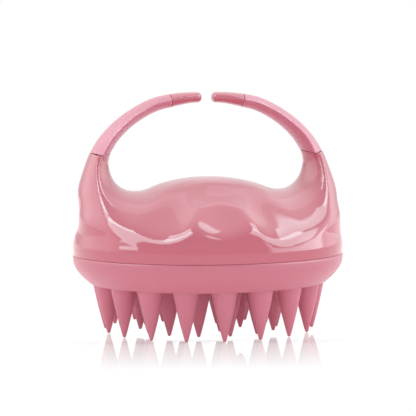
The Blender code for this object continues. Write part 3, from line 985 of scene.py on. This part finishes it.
def channel_ring(side, k, bm):
    pts = np.array([(35.9, 55.6)] + CORE_LINE)
    step = np.gradient(pts, axis=0)
    step /= np.linalg.norm(step, axis=1)[:, None]
    out = np.stack([step[:, 1], -step[:, 0]], axis=1)
    p, o = pts[k + 1], out[k + 1]
    width = (8.0 + (4.4 - 8.0) * max(0, k + 2 - 3) / 10) / 2 + 0.3
    a, b = p + o * 1.0, p - o * 1.0
    corners = [(a, -width), (a, width), (b, width), (b, -width)]
    ring = []
    for i in range(4):
        (p0, y0), (p1, y1) = corners[i], corners[(i + 1) % 4]
        for s in range(6):
            t = s / 6
            q = p0 * (1 - t) + p1 * t
            ring.append(bm.verts.new((side * q[0], y0 * (1 - t) + y1 * t, q[1])))
    return ring


def bridge(bm, a, b):
    n = len(a)
    for i in range(n):
        j = (i + 1) % n
        bm.faces.new((a[i], a[j], b[j], b[i]))


def make_sleeve(side, name):
    n = 72
    stations = 64
    end = SEAM_T - 0.10
    ts = np.linspace(0.0, end, stations)
    rings = []
    for i, t in enumerate(ts):
        bend = SEAM_DROP * max(0.0, 1 - t / 4.0)
        rings.append(arm_ring(t, side, n, bend=bend))
    first = [(p[0], p[1], p[2] - 0.0) for p in arm_ring(0.0, side, n, shrink=0.2, bend=SEAM_DROP)]
    rings[0] = [(p[0], p[1], p[2] + 0.09) for p in rings[0]]
    last = arm_ring(end + 0.08, side, n, shrink=0.14)
    bm = bmesh.new()
    vr = ring_mesh(bm, [first] + rings + [last])
    ch = [channel_ring(side, k, bm) for k in range(0, 9)]
    # the channel's two mouths lie in the sleeve's end faces
    for v in ch[0]:
        v.co.z = SEAM_Z + 0.15 - SEAM_DROP * v.co.y ** 2
    c = np.array(last).mean(0)
    ds = ARM_S(np.array([end]), 1)[0][:2]
    ds = np.array((side * ds[0], ds[1])) / math.hypot(*ds)
    for v in ch[-1]:
        gap = (v.co.x - c[0]) * ds[0] + (v.co.z - c[2]) * ds[1]
        v.co.x -= gap * ds[0]
        v.co.z -= gap * ds[1]
    for a, b in zip(ch, ch[1:]):
        bridge(bm, a, b)
    capped(bm, vr[0], ch[0])
    capped(bm, vr[-1], ch[-1])
    bmesh.ops.recalc_face_normals(bm, faces=bm.faces[:])
    scale_mm(bm)
    ob = new_object(name, bm)
    put(ob, soft)
    shade(ob, 48)
    return ob


def make_tip(side, name):
    n = 72
    start = SEAM_T + 0.12
    stations = 30
    t_end = ARM_T[12] + 0.2
    rings = [arm_ring(start - 0.02, side, n, shrink=0.14)]
    for t in np.linspace(start + 0.07, t_end, stations):
        rings.append(arm_ring(t, side, n))
    # rounded end
    base = np.array(rings[-1])
    centre = base.mean(0)
    reach = abs(centre[0]) - 1.82
    ends = []
    for k in range(1, 9):
        a = math.pi / 2 * k / 8.6
        f = math.cos(a) ** 0.5
        s = math.sin(a)
        pts = []
        for p in base:
            u, v = p[1] - centre[1], p[2] - centre[2]
            # the width keeps a flatter front than the thickness
            fu = f ** 0.55 * (1 - 0.02 * s)
            pts.append((p[0] - side * reach * s * (1 - 0.12 * (u / 4.7) ** 2), centre[1] + u * fu, centre[2] + v * f))
        ends.append(pts)
    bm = bmesh.new()
    vr = ring_mesh(bm, rings + ends)
    last = vr[-1]
    mid = np.array([v.co for v in last]).mean(0)
    fan(bm, last, (side * 1.82, mid[1], mid[2]))
    # blind socket for the core
    ch = [channel_ring(side, k, bm) for k in range(8, 11)]
    c = np.array(rings[0]).mean(0)
    ds = ARM_S(np.array([start]), 1)[0][:2]
    ds = np.array((side * ds[0], ds[1])) / math.hypot(*ds)
    for v in ch[0]:
        gap = (v.co.x - c[0]) * ds[0] + (v.co.z - c[2]) * ds[1]
        v.co.x -= gap * ds[0]
        v.co.z -= gap * ds[1]
    for a, b in zip(ch, ch[1:]):
        bridge(bm, a, b)
    bm.faces.new(ch[-1])
    capped(bm, vr[0], ch[0])
    bmesh.ops.recalc_face_normals(bm, faces=bm.faces[:])
    scale_mm(bm)
    ob = new_object(name, bm)
    put(ob, gloss_tip)
    shade(ob, 50)
    return ob


for side, word in ((-1, "left"), (1, "right")):
    sleeve = make_sleeve(side, f"{word}_grip_sleeve_skin")
    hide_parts(f"{word}_grip_sleeve")
    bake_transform(sleeve)
    tip = make_tip(side, f"{word}_arm_tip_skin")
    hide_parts(f"{word}_arm_tip")
    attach(tip, f"{word}_arm")

# ---- carried-over CAD nodes ---------------------------------------------------------
for n, ob in frame["nodes"].items():
    if n.endswith("_arm_core"):
        put(ob, core_plastic)
    elif n == "backing_plate":
        put(ob, inner_plastic)
    elif n == "seal_ring":
        put(ob, seal_rubber)
    elif n.startswith("plate_screw"):
        put(ob, screw_steel)


# =====================================================================================
# Floor, light, camera
# =====================================================================================
SHEEN = 0.46
GLOW = 0.3


def floor_plane():
    bm = bmesh.new()
    s = 3.0
    bm.faces.new([bm.verts.new(p) for p in ((-s, -s, 0), (s, -s, 0), (s, s, 0), (-s, s, 0))])
    ob = new_object("studio_floor", bm)
    ob.location.z = -0.00004
    mat = bpy.data.materials.new("studio_floor")
    mat.use_nodes = True
    nt = mat.node_tree
    nt.nodes.clear()
    out = nt.nodes.new("ShaderNodeOutputMaterial")
    diffuse = nt.nodes.new("ShaderNodeBsdfDiffuse")
    diffuse.inputs["Color"].default_value = (0.86, 0.86, 0.86, 1)
    white = nt.nodes.new("ShaderNodeEmission")
    white.inputs["Color"].default_value = (1, 1, 1, 1)
    white.inputs["Strength"].default_value = 1.05
    mirror = nt.nodes.new("ShaderNodeBsdfGlossy")
    mirror.inputs["Roughness"].default_value = 0.006
    mirror.inputs["Color"].default_value = (1, 1, 1, 1)
    # the sheen on the floor is strongest just in front of the object and fades towards the viewer
    geo = nt.nodes.new("ShaderNodeNewGeometry")
    dot = nt.nodes.new("ShaderNodeVectorMath")
    dot.operation = "DOT_PRODUCT"
    dot.inputs[1].default_value = tuple(FWD)
    nt.links.new(geo.outputs["Position"], dot.inputs[0])

    def fade(lo, hi, a, b):
        m = nt.nodes.new("ShaderNodeMapRange")
        m.inputs["From Min"].default_value = lo
        m.inputs["From Max"].default_value = hi
        m.inputs["To Min"].default_value = a
        m.inputs["To Max"].default_value = b
        nt.links.new(dot.outputs["Value"], m.inputs["Value"])
        return m.outputs["Result"]

    # a faint line of painted shadow runs across the table by the foremost bristles, darkening its white
    near, far = fade(-0.0385, -0.0335, 0.0, 1.0), fade(-0.0310, -0.0250, 1.0, 0.0)
    across = nt.nodes.new("ShaderNodeVectorMath")
    across.operation = "DOT_PRODUCT"
    across.inputs[1].default_value = tuple(RIGHT)
    nt.links.new(geo.outputs["Position"], across.inputs[0])
    apart = nt.nodes.new("ShaderNodeMath")
    apart.operation = "ABSOLUTE"
    nt.links.new(across.outputs["Value"], apart.inputs[0])
    ends = nt.nodes.new("ShaderNodeMapRange")
    ends.inputs["From Min"].default_value = 0.025
    ends.inputs["From Max"].default_value = 0.046
    ends.inputs["To Min"].default_value = 0.15
    ends.inputs["To Max"].default_value = 0.0
    nt.links.new(apart.outputs[0], ends.inputs["Value"])
    line = nt.nodes.new("ShaderNodeMath")
    line.operation = "MULTIPLY"
    nt.links.new(near, line.inputs[0])
    nt.links.new(far, line.inputs[1])
    dim = nt.nodes.new("ShaderNodeMath")
    dim.operation = "MULTIPLY"
    nt.links.new(line.outputs[0], dim.inputs[0])
    nt.links.new(ends.outputs["Result"], dim.inputs[1])
    rest = nt.nodes.new("ShaderNodeMath")
    rest.operation = "SUBTRACT"
    rest.inputs[0].default_value = 1.02
    nt.links.new(dim.outputs[0], rest.inputs[1])
    nt.links.new(rest.outputs[0], white.inputs["Strength"])

    product = nt.nodes.new("ShaderNodeMath")
    product.operation = "MULTIPLY"
    nt.links.new(fade(-0.087, -0.032, 0.0, SHEEN), product.inputs[0])
    # and it starts where the outer bristles stand
    far_out = nt.nodes.new("ShaderNodeVectorMath")
    far_out.operation = "LENGTH"
    nt.links.new(geo.outputs["Position"], far_out.inputs[0])
    outside = nt.nodes.new("ShaderNodeMapRange")
    outside.inputs["From Min"].default_value = 0.0305
    outside.inputs["From Max"].default_value = 0.0325
    nt.links.new(far_out.outputs["Value"], outside.inputs["Value"])
    front_half = nt.nodes.new("ShaderNodeMath")
    front_half.operation = "MULTIPLY"
    nt.links.new(fade(-0.004, 0.002, 1.0, 0.0), front_half.inputs[0])
    nt.links.new(outside.outputs["Result"], front_half.inputs[1])
    nt.links.new(front_half.outputs[0], product.inputs[1])
    seen = nt.nodes.new("ShaderNodeMixShader")
    nt.links.new(product.outputs[0], seen.inputs["Fac"])
    nt.links.new(white.outputs["Emission"], seen.inputs[1])
    nt.links.new(mirror.outputs["BSDF"], seen.inputs[2])
    path = nt.nodes.new("ShaderNodeLightPath")
    # the table glows with painted light of its own, added to its diffuse shade for every ray but the camera's, which
    # lifts the shade under the brush
    glow = nt.nodes.new("ShaderNodeEmission")
    glow.inputs["Strength"].default_value = GLOW
    lit = nt.nodes.new("ShaderNodeAddShader")
    nt.links.new(diffuse.outputs["BSDF"], lit.inputs[0])
    nt.links.new(glow.outputs["Emission"], lit.inputs[1])
    # the sheen shows only to a low viewer in front; from elsewhere the table is plain and holds a soft shade
    low = nt.nodes.new("ShaderNodeVectorMath")
    low.operation = "DOT_PRODUCT"
    low.inputs[1].default_value = tuple(-FWD)
    nt.links.new(geo.outputs["Incoming"], low.inputs[0])
    facing = nt.nodes.new("ShaderNodeMapRange")
    facing.inputs["From Min"].default_value = 0.955
    facing.inputs["From Max"].default_value = 0.972
    nt.links.new(low.outputs["Value"], facing.inputs["Value"])
    front = nt.nodes.new("ShaderNodeMixShader")
    nt.links.new(facing.outputs["Result"], front.inputs["Fac"])
    nt.links.new(diffuse.outputs["BSDF"], front.inputs[1])
    nt.links.new(seen.outputs["Shader"], front.inputs[2])
    mix = nt.nodes.new("ShaderNodeMixShader")
    nt.links.new(path.outputs["Is Camera Ray"], mix.inputs["Fac"])
    nt.links.new(lit.outputs["Shader"], mix.inputs[1])
    nt.links.new(front.outputs["Shader"], mix.inputs[2])
    nt.links.new(mix.outputs["Shader"], out.inputs["Surface"])
    ob.data.materials.append(mat)


floor_plane()


def area(name, az, el, wide, tall, radiance, tint=(1, 1, 1), soft=0.0, distance=1.6, aim=(0, 0, 0.035)):
    """A softbox seen from the object at azimuth az (0 is straight behind it, + to the right) and elevation el,
    wide and tall in degrees, with a given radiance; soft fades its edges. It is seen in reflections only."""
    a, e = math.radians(az), math.radians(el)
    way = (RIGHT * math.sin(a) + FWD * math.cos(a)) * math.cos(e) + UP * math.sin(e)
    data = bpy.data.lights.new(name, "AREA")
    data.shape = "RECTANGLE"
    data.size = 2 * distance * math.tan(math.radians(wide / 2))
    data.size_y = 2 * distance * math.tan(math.radians(tall / 2))
    data.energy = radiance * math.pi * data.size * data.size_y
    data.color = tint
    if soft:
        data.use_nodes = True
        nt = data.node_tree
        nt.nodes.clear()
        out = nt.nodes.new("ShaderNodeOutputLight")
        em = nt.nodes.new("ShaderNodeEmission")
        geo = nt.nodes.new("ShaderNodeNewGeometry")
        sep = nt.nodes.new("ShaderNodeSeparateXYZ")
        nt.links.new(geo.outputs["Parametric"], sep.inputs["Vector"])
        last = None
        for axis in ("X", "Y"):
            centred = nt.nodes.new("ShaderNodeMath")
            centred.operation = "SUBTRACT"
            centred.inputs[1].default_value = 0.5
            nt.links.new(sep.outputs[axis], centred.inputs[0])
            off = nt.nodes.new("ShaderNodeMath")
            off.operation = "ABSOLUTE"
            nt.links.new(centred.outputs[0], off.inputs[0])
            m = nt.nodes.new("ShaderNodeMapRange")
            m.interpolation_type = "SMOOTHSTEP"
            m.inputs["From Min"].default_value = 0.5
            m.inputs["From Max"].default_value = 0.5 * (1 - soft)
            m.inputs["To Min"].default_value = 0.0
            m.inputs["To Max"].default_value = 1.0
            nt.links.new(off.outputs[0], m.inputs["Value"])
            if last is None:
                last = m.outputs["Result"]
            else:
                mul = nt.nodes.new("ShaderNodeMath")
                mul.operation = "MULTIPLY"
                nt.links.new(last, mul.inputs[0])
                nt.links.new(m.outputs["Result"], mul.inputs[1])
                last = mul.outputs[0]
        nt.links.new(last, em.inputs["Strength"])
        nt.links.new(em.outputs["Emission"], out.inputs["Surface"])
    ob = bpy.data.objects.new(name, data)
    scene.collection.objects.link(ob)
    ob.location = Vector(aim) + way * distance
    ob.rotation_mode = "QUATERNION"
    ob.rotation_quaternion = (Vector(aim) - ob.location).to_track_quat("-Z", "Y")
    ob.visible_camera = False
    ob.visible_diffuse = False
    return ob


COOL = (0.66, 1.0, 1.0)
area("softbox_left", -111, 37.5, 22, 65, 5.6, COOL, soft=0.06)
area("softbox_left_top", -85, 58, 24, 20, 5.0, COOL, soft=0.12)
area("softbox_right", 102, 48, 38, 54, 5.0, COOL, soft=0.08)
area("softbox_right_top", 60, 60, 34, 24, 3.6, COOL, soft=0.2)
area("table_right", 98, 2, 64, 34, 3.8, COOL, soft=0.25)
area("card_left", -76, 22, 84, 78, 1.7, soft=0.8)
area("card_right", 72, 12, 88, 70, 1.7, soft=0.8)


def world():
    """A white tent: dim at the horizon, brighter overhead and behind."""
    w = bpy.data.worlds.new("studio")
    scene.world = w
    w.use_nodes = True
    nt = w.node_tree
    nt.nodes.clear()
    out = nt.nodes.new("ShaderNodeOutputWorld")
    bg = nt.nodes.new("ShaderNodeBackground")
    seen = nt.nodes.new("ShaderNodeBackground")
    seen.inputs["Color"].default_value = (1, 1, 1, 1)
    seen.inputs["Strength"].default_value = 1.0
    tc = nt.nodes.new("ShaderNodeTexCoord")

    nt.links.new(tent_level(nt, tc.outputs["Generated"]), bg.inputs["Strength"])
    path = nt.nodes.new("ShaderNodeLightPath")
    mix = nt.nodes.new("ShaderNodeMixShader")
    nt.links.new(path.outputs["Is Camera Ray"], mix.inputs["Fac"])
    nt.links.new(bg.outputs["Background"], mix.inputs[1])
    nt.links.new(seen.outputs["Background"], mix.inputs[2])
    nt.links.new(mix.outputs["Shader"], out.inputs["Surface"])


world()

cam_data = bpy.data.cameras.new("camera")
cam_data.sensor_width = 36.0
cam_data.lens = 134.36
cam_data.clip_start = 0.01
cam_data.clip_end = 10.0
cam = bpy.data.objects.new("camera", cam_data)
scene.collection.objects.link(cam)
cam.location = FWD * -0.5097 + UP * 0.0695
pitch = math.atan((208.0 - 117.1) / 1550.0)
pan = math.atan(0.643 / 1550.0)
look = (FWD + RIGHT * math.tan(pan) - UP * math.tan(pitch)).normalized()
right = look.cross(UP).normalized()
up = right.cross(look).normalized()
roll = math.radians(0.54)
right2 = right * math.cos(roll) - up * math.sin(roll)
up2 = up * math.cos(roll) + right * math.sin(roll)
cam.rotation_mode = "QUATERNION"
cam.rotation_quaternion = Matrix((right2, up2, -look)).transposed().to_quaternion()
scene.camera = cam

scene.view_settings.view_transform = "Standard"
scene.view_settings.look = "None"
scene.view_settings.exposure = 0.0
scene.view_settings.gamma = 1.0
